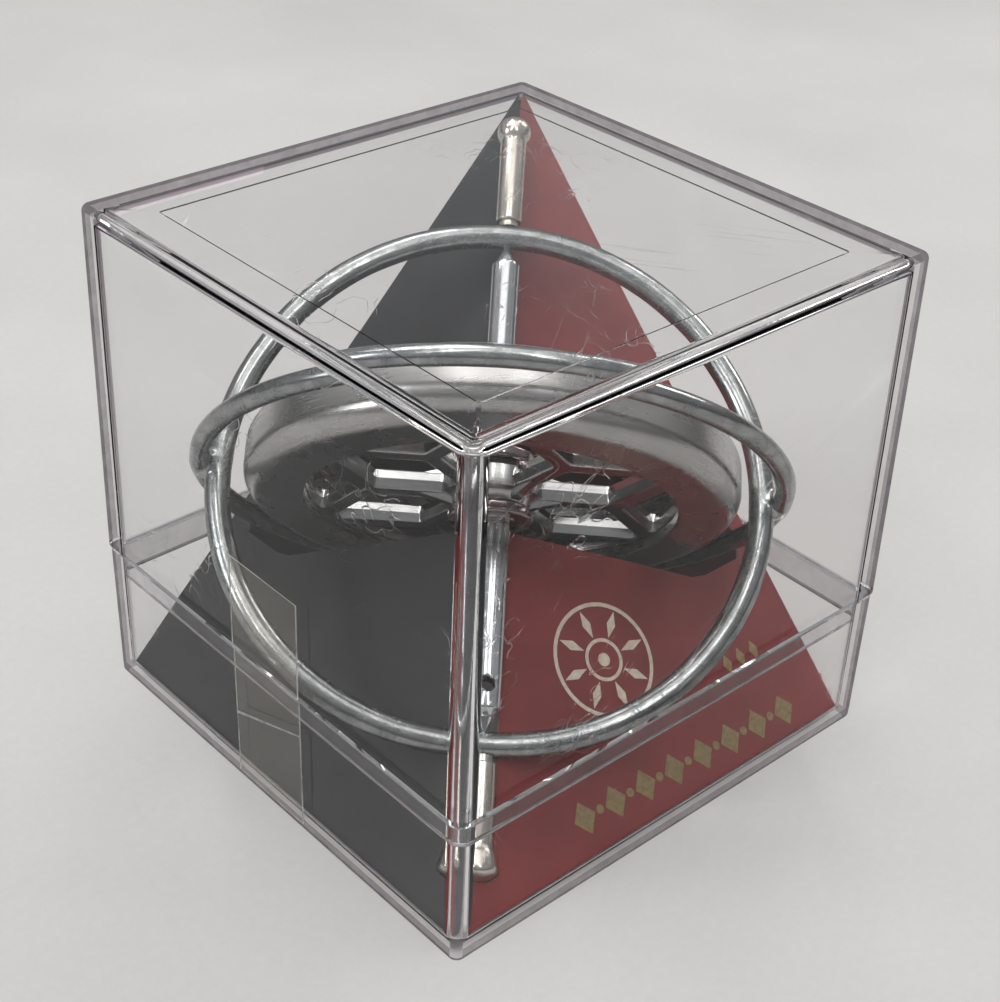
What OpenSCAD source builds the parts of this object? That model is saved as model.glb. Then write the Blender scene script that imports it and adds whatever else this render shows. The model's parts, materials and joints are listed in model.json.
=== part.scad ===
// Metal gyroscope in a clear display cube, standing on a folded two-colour card.
// Frame: origin at the middle of the cube's underside, +Z up, walls along X and Y.
// The gyroscope leans along the cube's diagonal, its ball end at the far top corner.

/* [Display box] */
// Outer width of the lid, square in plan
lid_w = 62; // [60:0.5:66]
// Outer width of the base tray
base_w = 61.7; // [60:0.1:61.9]
// Height of the closed box
box_h = 60; // [60:0.5:64]
// Height of the joint line between lid and base
seam_z = 18; // [14:0.5:22]
// Depth of the lid's tongue below the joint line
tongue_h = 3; // [2:0.25:4]
// Wall thickness of the lid and the base
wall = 2; // [1.8:0.05:2.1]
// Thickness of the lid's top and of the base's floor
plate_t = 1.8; // [1.4:0.1:1.9]
// Outer radius of the moulded edges
edge_r = 1; // [0.6:0.1:1.4]

/* [Gyroscope] */
// Elevation of the spin axis
axis_el = 37.3; // [36.8:0.1:37.6]
// Direction of the spin axis in plan, counted from +X
axis_az = 45.8; // [45.3:0.1:46.3]
// Turn of the frame about the spin axis
frame_roll = -3.5; // [-4:0.1:-3]
// Centreline radius of the polar ring, which holds the pivots
polar_r = 28.9; // [28.6:0.1:29]
// Wire radius of the polar ring
polar_wire_r = 1.4; // [1.3:0.05:1.45]
// Centreline radius of the equator ring
equator_r = 30.8; // [30.6:0.1:30.9]
// Wire radius of the equator ring
equator_wire_r = 1.15; // [1:0.05:1.2]
// Radius of the two stems
stem_r = 1.5; // [1.3:0.05:1.55]
// Radius of the ball on the upper stem
ball_r = 1.95; // [1.8:0.05:2]
// Distance from the gyroscope's centre to the ball's centre
ball_s = 42.6; // [42:0.1:42.7]
// Distance from the gyroscope's centre to the end of the foot
foot_s = 42.9; // [42:0.1:43]

/* [Rotor] */
// Outer radius of the flywheel
wheel_r = 26.2; // [25.5:0.1:26.4]
// Axial width of the flywheel's rim
rim_w = 6.6; // [5.5:0.1:7]
// Inner radius of the rim
rim_in_r = 19.5; // [18.5:0.1:20]
// Thickness of the spoked web
web_t = 2.3; // [2:0.1:3]
// Width of each spoke
spoke_w = 2; // [1.8:0.1:2.6]
// Radius of the axle
axle_r = 1.65; // [1.5:0.05:1.75]
// Radius of the string hole through the axle
hole_r = 0.85; // [0.6:0.05:0.9]

/* [Card] */
// Thickness of the card
card_t = 0.4; // [0.35:0.05:0.5]
// Half width of the folded card in plan
card_half = 28.4; // [28:0.1:28.5]

/* [Hidden] */

// Display box, derived
fine = 64;
medium = 48;
inner_half = lid_w / 2 - wall - 0.1;
tongue_half = inner_half + 0.7;
rebate_half = tongue_half + 0.15;
inner_corner_r = 0.8;
inset_half = 24.8;
inset_depth = 0.2;
tape_t = 0.08;
tape_y = [-5.8, 5.8];
tape_top_z = [30, 31.2];
tape_low_z = edge_r + 0.2;
tape_gap = 0.25;

// Gyroscope, derived: its centre sits a little in front of the cube's diagonal
gyro_c = [-0.53, -0.62, 30.12];
crimp_h = 0.7;
crimp_r = 1.1;
stem_root = polar_r + polar_wire_r - 0.25;
weld_r = 1.35;
weld_s = (polar_r + equator_r) / 2;
foot_r = 2.25;

// Rotor, derived
rim_low = -2.2;
rim_high = rim_low + rim_w;
web_low = -1.9;
web_high = web_low + web_t;
rim_round = 2.6;
fork_r = 12.6;
arm_l = 9.2;
hub_r = 4.6;
hub_end_r = 3.5;
hub_rise = 1.3;
collar_r = 4;
collar_t = 1.4;
collar_edge = 0.5;
collar_low = web_low - hub_rise - collar_t;
collar_high = web_high + hub_rise;
pin_tip_s = 27.95;
pin_tip_r = 0.12;
pin_cone_s = 25.2;
pivot_gap = 0.06;
hole_s = -22.7;

// Card, derived
card_z = plate_t + 0.1;
card_top = box_h - plate_t - 0.3;
// Upright thickness of a sloping panel, which leans at about 45 degrees
card_drop = 1.4 * card_t;
slot_wheel_r = wheel_r + 1.4;
slot_wheel_z = [-5.2, 6];
slot_ring_r = equator_r + equator_wire_r + 1;
slot_ring_h = 4.8;
clear = 0.35;

// ---- shared shapes ----

// Moves the gyroscope's own frame (spin axis along Z) to its place in the box
module in_box()
    translate(gyro_c) rotate([0, 90 - axis_el, axis_az]) rotate([0, 0, -90 - frame_roll])
        children();

// Square with round corners, half width h and corner radius r
module round_square(h, r) {
    square([2 * h, 2 * (h - r)], center = true);
    square([2 * (h - r), 2 * h], center = true);
    for (x = [-1, 1], y = [-1, 1]) translate([x * (h - r), y * (h - r)]) circle(r = r, $fn = medium);
}

// Block with round upright edges and a round rim at its top, half width h, height z
module round_topped(h, z, r) {
    linear_extrude(z - r) round_square(h, r);
    translate([0, 0, z - r]) {
        translate([r - h, r - h, 0]) cube([2 * (h - r), 2 * (h - r), r]);
        for (a = [0 : 90 : 270]) rotate([0, 0, a]) {
            translate([r - h, r - h, 0]) rotate([0, 90, 0])
                cylinder(r = r, h = 2 * (h - r), $fn = medium);
            translate([r - h, r - h, 0]) sphere(r = r, $fn = medium);
        }
    }
}

// Round wire ring about Z
module wire_ring(ring_r, wire_r)
    rotate_extrude($fn = 96) translate([ring_r, 0]) circle(r = wire_r, $fn = medium);

// ---- display box ----

module base_tray() color([0.86, 0.85, 0.88, 0.3]) difference() {
    translate([0, 0, seam_z]) mirror([0, 0, 1]) round_topped(base_w / 2, seam_z, edge_r);
    translate([0, 0, plate_t]) linear_extrude(seam_z) round_square(inner_half, inner_corner_r);
    translate([0, 0, seam_z - tongue_h - 0.1]) linear_extrude(seam_z)
        round_square(rebate_half, inner_corner_r);
}

module lid_shell() color([0.88, 0.87, 0.9, 0.3]) difference() {
    union() {
        translate([0, 0, seam_z]) round_topped(lid_w / 2, box_h - seam_z, edge_r);
        translate([0, 0, seam_z - tongue_h]) linear_extrude(tongue_h + 1)
            round_square(tongue_half, inner_corner_r);
    }
    translate([0, 0, seam_z - tongue_h - 1]) linear_extrude(box_h - plate_t - seam_z + tongue_h + 1)
        round_square(inner_half, inner_corner_r);
    translate([-inset_half, -inset_half, box_h - plate_t - 1])
        cube([2 * inset_half, 2 * inset_half, 1 + inset_depth]);
}

// Clear tape on the wall that faces -X, cut along the joint line
module tape_lower() color([0.8, 0.76, 0.68, 0.4])
    translate([-base_w / 2 - tape_t, tape_y[0], tape_low_z])
        cube([tape_t, tape_y[1] - tape_y[0], seam_z - tape_gap - tape_low_z]);

module tape_upper() color([0.8, 0.76, 0.68, 0.4])
    translate([-lid_w / 2, 0, 0]) rotate([0, -90, 0]) linear_extrude(tape_t)
        polygon([[seam_z + tape_gap, tape_y[0]], [tape_top_z[0], tape_y[0]],
                 [tape_top_z[1], tape_y[1]], [seam_z + tape_gap, tape_y[1]]]);

// ---- folded card ----

// Room in the card for the polar ring, the stems, the ball, the foot, the wheel and the equator ring
module card_cuts() in_box() {
    translate([0, 0, -foot_s]) cylinder(r = stem_r + clear, h = foot_s + ball_s, $fn = medium);
    translate([0, 0, -foot_s - clear]) cylinder(r = foot_r + clear, h = 4.8, $fn = medium);
    rotate([90, 0, 0]) wire_ring(polar_r, polar_wire_r + clear);
    translate([0, 0, slot_wheel_z[0]])
        cylinder(r = slot_wheel_r, h = slot_wheel_z[1] - slot_wheel_z[0], $fn = fine);
    translate([0, 0, -slot_ring_h / 2]) cylinder(r = slot_ring_r, h = slot_ring_h, $fn = fine);
}

// Sloping panel that rises along +Y, one side of the ridge
module front_panel() intersection() {
    linear_extrude(box_h)
        polygon([[-card_half, -card_half], [card_half, -card_half], [card_half, card_half]]);
    translate([-card_half, 0, 0]) rotate([90, 0, 90]) linear_extrude(2 * card_half)
        polygon([[-card_half, card_z], [card_half, card_top],
                 [card_half, card_top - card_drop], [card_drop - card_half, card_z]]);
}

module card_red_panel() color([0.42, 0.12, 0.12]) difference() {
    front_panel();
    card_cuts();
}

module card_black_panel() color([0.09, 0.09, 0.1]) difference() {
    mirror([1, -1, 0]) front_panel();
    card_cuts();
}

// Upright triangular panel behind the red one, standing along the wall that faces +X
module back_panel() translate([card_half + 0.02, 0, 0]) rotate([90, 0, 90]) linear_extrude(card_t)
    polygon([[-card_half, card_z], [card_half, card_top], [card_half, card_z]]);

module card_back_right() color([0.42, 0.12, 0.12]) back_panel();

module card_back_left() color([0.09, 0.09, 0.1]) mirror([1, -1, 0]) back_panel();

// ---- gyroscope frame ----

module polar_ring() color([0.6, 0.62, 0.62]) in_box() difference() {
    rotate([90, 0, 0]) wire_ring(polar_r, polar_wire_r);
    for (end = [0, 180]) rotate([end, 0, 0]) translate([0, 0, pin_tip_s - 0.75])
        cylinder(r1 = 0.54 + pivot_gap, r2 = 0.1 + pivot_gap, h = 0.8, $fn = medium);
}

module equator_ring() color([0.56, 0.58, 0.58]) in_box() wire_ring(equator_r, equator_wire_r);

module weld_beads() color([0.6, 0.6, 0.58]) in_box()
    for (x = [-1, 1]) translate([x * weld_s, 0, 0]) sphere(r = weld_r, $fn = medium);

// Turned stem with a ball, fixed to the ring by a short crimped neck
module ball_stem() color([0.62, 0.6, 0.55]) in_box() {
    translate([0, 0, stem_root]) cylinder(r = crimp_r, h = crimp_h + 0.1, $fn = medium);
    translate([0, 0, stem_root + crimp_h])
        cylinder(r = stem_r, h = ball_s - stem_root - crimp_h, $fn = medium);
    translate([0, 0, ball_s]) sphere(r = ball_r, $fn = fine);
}

// Turned stem with a flared foot, flat at its end
module foot_stem() color([0.62, 0.6, 0.55]) in_box() mirror([0, 0, 1]) {
    translate([0, 0, stem_root]) cylinder(r = crimp_r, h = crimp_h + 0.1, $fn = medium);
    rotate_extrude($fn = fine)
        polygon([[0, stem_root + crimp_h], [stem_r, stem_root + crimp_h], [stem_r, foot_s - 4.4],
                 [stem_r + 0.12, foot_s - 3.7], [stem_r + 0.4, foot_s - 2.7], [foot_r - 0.12, foot_s - 1.9],
                 [foot_r, foot_s - 1.3], [foot_r - 0.1, foot_s - 0.75], [foot_r - 0.45, foot_s - 0.3],
                 [foot_r - 1, foot_s - 0.06], [0, foot_s]]);
}

// ---- rotor ----

module axle() color([0.7, 0.72, 0.72]) in_box() difference() {
    union() {
        translate([0, 0, -pin_cone_s]) cylinder(r = axle_r, h = 2 * pin_cone_s, $fn = medium);
        translate([0, 0, pin_cone_s])
            cylinder(r1 = axle_r, r2 = pin_tip_r, h = pin_tip_s - pin_cone_s, $fn = medium);
        translate([0, 0, -pin_cone_s - 0.7]) cylinder(r1 = 1, r2 = axle_r, h = 0.7, $fn = medium);
        translate([0, 0, -pin_tip_s]) cylinder(r1 = pin_tip_r, r2 = 1.1, h = 1.8, $fn = medium);
        translate([0, 0, -pin_tip_s + 1.8]) cylinder(r = 1, h = 0.3, $fn = medium);
    }
    translate([0, 0, hole_s]) rotate([90, 0, 0]) cylinder(r = hole_r, h = 8, center = true, $fn = medium);
}

// Cast flywheel: a heavy rounded rim, six forked spokes and a tapered hub
module flywheel() color([0.5, 0.5, 0.49]) in_box() difference() {
    union() {
        rotate_extrude($fn = 96) rim_section();
        translate([0, 0, web_low]) linear_extrude(web_t) spider();
        translate([0, 0, web_low - hub_rise])
            cylinder(r1 = hub_end_r, r2 = hub_r, h = hub_rise + 0.01, $fn = fine);
        translate([0, 0, web_high - 0.01])
            cylinder(r1 = hub_r, r2 = hub_end_r, h = hub_rise + 0.01, $fn = fine);
    }
    translate([0, 0, -10]) cylinder(r = axle_r, h = 20, $fn = medium);
}

// Cross-section of the rim: flat faces, a barrel outside with large round shoulders
module rim_section() {
    translate([rim_in_r, rim_low]) square([wheel_r - rim_round - rim_in_r, rim_w]);
    translate([rim_in_r, rim_low + rim_round]) square([wheel_r - rim_in_r, rim_w - 2 * rim_round]);
    for (z = [rim_low + rim_round, rim_high - rim_round])
        translate([wheel_r - rim_round, z]) circle(r = rim_round, $fn = fine);
}

// Six forked spokes: each stem splits and its two arms run parallel to the neighbouring stems
module spider() {
    circle(r = hub_r, $fn = fine);
    for (a = [0 : 60 : 300]) rotate([0, 0, a]) {
        translate([0, -spoke_w / 2]) square([fork_r, spoke_w]);
        translate([fork_r, 0]) circle(d = spoke_w, $fn = medium);
        for (side = [-1, 1]) translate([fork_r, 0]) rotate([0, 0, 60 * side])
            translate([0, -spoke_w / 2]) square([arm_l, spoke_w]);
    }
}

// Pressed collars that hold the wheel on the axle
module collar() rotate_extrude($fn = fine) {
    translate([axle_r, 0]) square([collar_r - collar_edge - axle_r, collar_t]);
    translate([axle_r, collar_edge]) square([collar_r - axle_r, collar_t - 2 * collar_edge]);
    for (z = [collar_edge, collar_t - collar_edge])
        translate([collar_r - collar_edge, z]) circle(r = collar_edge, $fn = medium);
}

module hub_collar_lower() color([0.66, 0.67, 0.66]) in_box() translate([0, 0, collar_low]) collar();

module hub_collar_upper() color([0.66, 0.67, 0.66]) in_box() translate([0, 0, collar_high]) collar();

base_tray();
lid_shell();
tape_lower();
tape_upper();
card_red_panel();
card_black_panel();
card_back_right();
card_back_left();
polar_ring();
equator_ring();
weld_beads();
ball_stem();
foot_stem();
axle();
flywheel();
hub_collar_lower();
hub_collar_upper();
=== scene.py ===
"""The look of a metal toy gyroscope on a folded card in a clear display cube.

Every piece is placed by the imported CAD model: the box by its nodes' boxes, the gyroscope by its
spin joint and its string hole. Sizes in this file are millimetres unless a name says otherwise.
"""

import json
from math import acos, atan2, copysign, cos, degrees, hypot, pi, radians, sin, sqrt, tan

import bmesh
import bpy
from mathutils import Matrix, Vector, noise


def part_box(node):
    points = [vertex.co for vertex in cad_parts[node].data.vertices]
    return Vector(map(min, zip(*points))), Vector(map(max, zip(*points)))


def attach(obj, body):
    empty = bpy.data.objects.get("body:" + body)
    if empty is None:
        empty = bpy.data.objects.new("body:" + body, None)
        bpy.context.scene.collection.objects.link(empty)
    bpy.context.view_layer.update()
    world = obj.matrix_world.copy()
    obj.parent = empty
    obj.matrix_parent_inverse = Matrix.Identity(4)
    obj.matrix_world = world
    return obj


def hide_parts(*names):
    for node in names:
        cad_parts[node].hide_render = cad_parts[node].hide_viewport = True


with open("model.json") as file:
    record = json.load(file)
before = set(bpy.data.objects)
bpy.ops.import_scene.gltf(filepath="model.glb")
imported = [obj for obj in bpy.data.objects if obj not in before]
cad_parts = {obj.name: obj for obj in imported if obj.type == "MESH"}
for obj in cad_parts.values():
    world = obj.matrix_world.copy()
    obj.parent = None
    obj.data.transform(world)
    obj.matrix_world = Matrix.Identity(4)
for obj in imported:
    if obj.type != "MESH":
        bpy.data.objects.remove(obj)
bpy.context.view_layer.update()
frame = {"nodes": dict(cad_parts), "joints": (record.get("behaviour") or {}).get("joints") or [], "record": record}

MM = 0.001
scene = bpy.context.scene
scene.view_settings.view_transform = "Standard"


# ---------------- places read from the frame

def node_box(node):
    """Lowest and highest corner of a CAD node, in mm."""
    low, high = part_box(node)
    return low / MM, high / MM


def find(items, name):
    return next(item for item in items if item["name"] == name)


HOLE = find(frame["record"]["mounts"], "string_hole")


def gyro_frame():
    """The gyroscope's own frame: Z is the spin axis, Y the string hole, origin at its centre."""
    spin = find(frame["joints"], "rotor_spin")
    z = Vector(spin["axis"]).normalized()
    y = -Vector(HOLE["axis"])
    y = (y - z * y.dot(z)).normalized()
    x = y.cross(z)
    turn = Matrix((x, y, z)).transposed().to_4x4()
    return Matrix.Translation(Vector(spin["pos_m"])) @ turn


GYRO = gyro_frame()
INTO_GYRO = GYRO.inverted()
UPRIGHT = Matrix.Rotation(radians(90), 3, "X")      # turns a part made about Z to lie about Y


def gyro_box(node):
    """Lowest and highest corner of a CAD node in the gyroscope's own frame, in mm."""
    points = [INTO_GYRO @ v.co / MM for v in frame["nodes"][node].data.vertices]
    low = Vector([min(p[i] for p in points) for i in range(3)])
    high = Vector([max(p[i] for p in points) for i in range(3)])
    return low, high


# ---------------- mesh building

def add_mesh(name, points, faces, place=Matrix.Identity(4)):
    """A new object from points in mm, standing in the frame that place gives."""
    mesh = bpy.data.meshes.new(name)
    mesh.from_pydata([tuple(MM * c for c in p) for p in points], [], faces)
    edit = bmesh.new()
    edit.from_mesh(mesh)
    bmesh.ops.remove_doubles(edit, verts=edit.verts, dist=1e-7)
    bmesh.ops.recalc_face_normals(edit, faces=edit.faces)
    edit.to_mesh(mesh)
    edit.free()
    obj = bpy.data.objects.new(name, mesh)
    scene.collection.objects.link(obj)
    obj.matrix_world = place
    return obj


def band(a, b, count):
    """Faces between two rings of count points, whose first points are numbers a and b."""
    return [[a + k, a + (k + 1) % count, b + (k + 1) % count, b + k] for k in range(count)]


def thin_sheet(name, rows, cols, point):
    """A closed thin sheet from point(side, row, col), side 0 or 1. Its faces come in pairs, one a side."""
    width = cols + 1
    offset = (rows + 1) * width
    points = [point(side, i, k) for side in (0, 1) for i in range(rows + 1) for k in range(width)]
    faces = []
    for i in range(rows):
        for k in range(cols):
            a = i * width + k
            quad = [a, a + 1, a + 1 + width, a + width]
            faces.append(quad)
            faces.append([q + offset for q in reversed(quad)])
    border = list(range(width))
    border += [i * width + cols for i in range(1, rows + 1)]
    border += [rows * width + k for k in range(cols - 1, -1, -1)]
    border += [i * width for i in range(rows - 1, 0, -1)]
    for a, b in zip(border, border[1:] + border[:1]):
        faces.append([a, b, b + offset, a + offset])
    return add_mesh(name, points, faces)


def evaluated(obj):
    """Applies an object's modifiers, or turns its curve into a mesh."""
    bpy.context.view_layer.update()
    graph = bpy.context.evaluated_depsgraph_get()
    mesh = bpy.data.meshes.new_from_object(obj.evaluated_get(graph))
    mesh.name = obj.name
    if obj.type == "MESH":
        obj.modifiers.clear()
        obj.data = mesh
        return obj
    name, place = obj.name, obj.matrix_world.copy()
    bpy.data.objects.remove(obj)
    new = bpy.data.objects.new(name, mesh)
    scene.collection.objects.link(new)
    new.matrix_world = place
    return new


def cut(obj, *cutters):
    """Takes the cutters away from obj and deletes them."""
    for cutter in cutters:
        modifier = obj.modifiers.new("cut", "BOOLEAN")
        modifier.operation = "DIFFERENCE"
        modifier.solver = "EXACT"
        modifier.object = cutter
    evaluated(obj)
    for cutter in cutters:
        bpy.data.objects.remove(cutter)
    return obj


def smooth(obj, angle=35, weighted=False):
    """Smooth shading with sharp edges above an angle in degrees."""
    mesh = obj.data
    mesh.polygons.foreach_set("use_smooth", [True] * len(mesh.polygons))
    mesh.set_sharp_from_angle(angle=radians(angle))
    if weighted:
        modifier = obj.modifiers.new("weighted", "WEIGHTED_NORMAL")
        modifier.keep_sharp = True
        modifier.weight = 80
    return obj


def finish_piece(obj, body, slot, materials, replaces=()):
    """Puts a piece's place into its mesh, gives it materials and a body, and hides the CAD nodes it stands for."""
    obj.data.transform(obj.matrix_world)
    obj.matrix_world = Matrix.Identity(4)
    obj.data.materials.clear()
    for material in materials:
        obj.data.materials.append(material)
    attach(obj, body)
    if replaces:
        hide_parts(*replaces)


def polar(r, turn):
    return r * cos(turn), r * sin(turn)


def let_light_through(obj):
    """Thin clear plastic throws no shadow and doesn't dim the light on what is inside."""
    obj.visible_shadow = False
    obj.visible_diffuse = False


def arc(centre_r, centre_z, radius, start, end, steps):
    """Points on an arc, as (r, z), from start to end in degrees."""
    turns = [radians(start + (end - start) * k / steps) for k in range(steps + 1)]
    return [(centre_r + radius * cos(t), centre_z + radius * sin(t)) for t in turns]


def lathe(profile, segments, closed=False):
    """Turns a profile of (r, z) about Z. A closed profile makes a ring."""
    points, faces, rows = [], [], []
    for r, z in profile:
        count = segments if r > 1e-6 else 1
        rows.append([len(points) + k for k in range(count)])
        for k in range(count):
            points.append((*polar(r, 2 * pi * k / segments), z))
    pairs = list(zip(rows, rows[1:] + rows[:1])) if closed else list(zip(rows, rows[1:]))
    for a, b in pairs:
        for k in range(segments):
            n = (k + 1) % segments
            corners = [a[k % len(a)], a[n % len(a)], b[n % len(b)], b[k % len(b)]]
            corner_set = list(dict.fromkeys(corners))
            if len(corner_set) > 2:
                faces.append(corner_set)
    return points, faces


def torus(ring_r, wire_r, segments=256, sides=28):
    profile = arc(ring_r, 0, wire_r, 0, 360, sides)[:-1]
    return lathe(profile, segments, closed=True)


def turned(points, axis_turn):
    """Points of a part made about Z, turned by a matrix."""
    return [tuple(axis_turn @ Vector(p)) for p in points]


def roughen(obj, amount, size, seed=0.0):
    """Moves every point along its normal by smooth noise, amount and size in mm."""
    shift = Vector((seed, 2 * seed, 3 * seed))
    moved_points = []
    for v, normal in zip(obj.data.vertices, [n.vector.copy() for n in obj.data.vertex_normals]):
        moved_points.extend(v.co + normal * (amount * MM * noise.noise(v.co / (size * MM) + shift)))
    obj.data.vertices.foreach_set("co", moved_points)
    obj.data.update()


# ---------------- material helpers

def new_material(name, **sockets):
    """A Principled material with plain values on the shader's own sockets."""
    material = bpy.data.materials.new(name)
    material.use_nodes = True
    shader = material.node_tree.nodes["Principled BSDF"]
    for key, value in sockets.items():
        shader.inputs[key.replace("_", " ")].default_value = value
    return material


def node(tree, kind, **values):
    new = tree.nodes.new("ShaderNode" + kind)
    for key, value in values.items():
        setattr(new, key, value)
    return new


def link(source, target):
    source.id_data.links.new(source, target)


def to_shader(source, name):
    """Links a value to the named socket of its own material's shader."""
    link(source, source.id_data.nodes["Principled BSDF"].inputs[name])


def noise_value(material, size, stretch=(1, 1, 1), turn=(0, 0, 0), detail=3.0, rough=0.5, place=None):
    """3-D noise with features of about size mm, stretched along axes turned in degrees or by a place."""
    tree = material.node_tree
    coordinates = node(tree, "TexCoord")
    mapping = node(tree, "Mapping", vector_type="TEXTURE")
    mapping.inputs["Rotation"].default_value = [radians(a) for a in turn]
    if place:
        mapping.inputs["Location"].default_value = place.translation
        mapping.inputs["Rotation"].default_value = place.to_euler()
    mapping.inputs["Scale"].default_value = [size * MM * s for s in stretch]
    texture = node(tree, "TexNoise")
    texture.inputs["Scale"].default_value = 1.0
    texture.inputs["Detail"].default_value = detail
    texture.inputs["Roughness"].default_value = rough
    link(coordinates.outputs["Object"], mapping.inputs["Vector"])
    link(mapping.outputs["Vector"], texture.inputs["Vector"])
    return texture.outputs["Fac"]


def remap(source, from_low, from_high, to_low=0.0, to_high=1.0):
    """A value taken from one range to another, held at its ends."""
    new = node(source.id_data, "MapRange", clamp=True)
    ends = {"From Min": from_low, "From Max": from_high, "To Min": to_low, "To Max": to_high}
    for name, value in ends.items():
        new.inputs[name].default_value = value
    link(source, new.inputs["Value"])
    return new.outputs["Result"]


def combine(operation, a, b):
    """A Math node on a socket and a second socket or a number."""
    new = node(a.id_data, "Math", operation=operation)
    for socket, value in zip(new.inputs, (a, b)):
        if isinstance(value, (int, float)):
            socket.default_value = value
        else:
            link(value, socket)
    return new.outputs["Value"]


def plus(a, b):
    return combine("ADD", a, b)


def times(a, b):
    return combine("MULTIPLY", a, b)


def set_colour(factor, dark, light):
    new = node(factor.id_data, "ValToRGB")
    new.color_ramp.elements[0].color = (*dark, 1)
    new.color_ramp.elements[1].color = (*light, 1)
    link(factor, new.inputs["Fac"])
    to_shader(new.outputs["Color"], "Base Color")


def set_bump(height, depth):
    """Bump of a depth in mm."""
    new = node(height.id_data, "Bump")
    new.inputs["Strength"].default_value = 1.0
    new.inputs["Distance"].default_value = depth * MM
    link(height, new.inputs["Height"])
    to_shader(new.outputs["Normal"], "Normal")


def scratches(material, turn, length, width, amount=0.007, cover=0.60):
    """Long thin marks along one direction, broken into separate strokes."""
    lines = noise_value(material, 1.0, stretch=(length, width, width), turn=turn, detail=1.0)
    distance = combine("ABSOLUTE", combine("SUBTRACT", lines, 0.5), 0.0)
    stroke = remap(distance, 0.0, amount, 1.0, 0.0)
    breaks = noise_value(material, length * 0.6, turn=turn, detail=2.0)
    kept = remap(breaks, cover, cover + 0.06)
    return times(stroke, kept)


# ---------------- materials

def clear_plastic():
    """Moulded polystyrene: faint violet tint at its edges, sparse scratches and a few rubbed spots."""
    material = new_material("clear_plastic", Base_Color=(0.985, 0.982, 0.984, 1), Roughness=0.0, IOR=1.58,
                            Transmission_Weight=1.0, Specular_Tint=(0.15, 0.15, 0.15, 1))
    strokes = scratches(material, (0, 0, 38), 34, 3.4)
    for turn, length, width in [((0, 0, -52), 40, 3.0), ((0, 38, 62), 24, 2.6), ((0, -30, 20), 28, 3.2)]:
        strokes = combine("MAXIMUM", strokes, scratches(material, turn, length, width))
    rubbed = remap(noise_value(material, 6, detail=6, rough=0.75), 0.66, 0.80, 0.0, 0.05)
    haze = plus(times(strokes, 0.22), rubbed)
    to_shader(haze, "Roughness")
    set_bump(times(strokes, -1.0), 0.003)
    tint = node(material.node_tree, "VolumeAbsorption")
    tint.inputs["Color"].default_value = (0.82, 0.79, 0.81, 1)
    tint.inputs["Density"].default_value = 16.0
    output = material.node_tree.nodes["Material Output"]
    link(tint.outputs["Volume"], output.inputs["Volume"])
    return material


def hazy_plastic(name, size, dark, light, shine, depth, **sockets):
    """Clear plastic with its faint violet, under wear or dust of about size mm and bump of depth mm."""
    material = new_material(name, Specular_Tint=(0.4, 0.4, 0.4, 1), **sockets)
    haze = noise_value(material, size, detail=6, rough=0.75)
    set_colour(remap(haze, 0.35, 0.75), dark, light)
    to_shader(remap(haze, 0.3, 0.8, *shine), "Roughness")
    set_bump(haze, depth)
    return material


def clear_strip(name, dark, light):
    """Flat plastic beside the far and lower edges. Light passes it straight, so no wall traps it. The darker of
    the two strips is tinted to paint the shade that these edges show.
    """
    material = new_material(name, Roughness=0.0, IOR=1.01, Transmission_Weight=1.0)
    cloud = noise_value(material, 2.5, detail=5, rough=0.7)
    set_colour(remap(cloud, 0.35, 0.75), dark, light)
    return material


def clear_tape():
    """Clear adhesive tape with small bubbles of trapped air."""
    material = new_material("clear_tape", Base_Color=(0.97, 0.955, 0.92, 1), Roughness=0.0, IOR=1.02,
                            Transmission_Weight=1.0)
    bubbles = remap(noise_value(material, 1.3, detail=2), 0.64, 0.68)
    to_shader(times(bubbles, 0.25), "Roughness")
    set_bump(bubbles, 0.012)
    return material


def tape_edge():
    """The tape's cut edges and its crease, where air and dust sit."""
    material = new_material("tape_edge", Roughness=0.4, IOR=1.45, Transmission_Weight=0.5)
    dust = noise_value(material, 0.8, detail=5, rough=0.7)
    set_colour(remap(dust, 0.35, 0.7), (0.30, 0.29, 0.27), (0.80, 0.79, 0.76))
    return material


def card(name, dark, light):
    """Printed satin card with paper grain and a little dust."""
    material = new_material(name, Roughness=0.42, IOR=1.46, Specular_IOR_Level=0.3)
    cloud = noise_value(material, 9, detail=5, rough=0.6)
    set_colour(remap(cloud, 0.3, 0.7), dark, light)
    grain = noise_value(material, 0.35, detail=4, rough=0.65)
    rubbed = noise_value(material, 5, detail=6, rough=0.7)
    shine = plus(remap(grain, 0.2, 0.8, 0.36, 0.48), remap(rubbed, 0.5, 0.75, 0.0, 0.14))
    to_shader(shine, "Roughness")
    set_bump(grain, 0.012)
    return material


def paper_edge(name, dark, light):
    """Fibres where the card is cut or folded."""
    material = new_material(name, Roughness=0.9)
    fibre = noise_value(material, 0.3, detail=4)
    set_colour(remap(fibre, 0.3, 0.7), dark, light)
    set_bump(fibre, 0.03)
    return material


def printed_ink(name, dark, light, metallic, roughness):
    """Foil or ink printed on the card, slightly worn."""
    material = new_material(name, Metallic=metallic, Roughness=roughness)
    wear = noise_value(material, 0.6, detail=5, rough=0.7)
    set_colour(remap(wear, 0.3, 0.65), dark, light)
    to_shader(remap(wear, 0.3, 0.7, roughness + 0.15, roughness - 0.08), "Roughness")
    set_bump(wear, 0.006)
    return material


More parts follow.
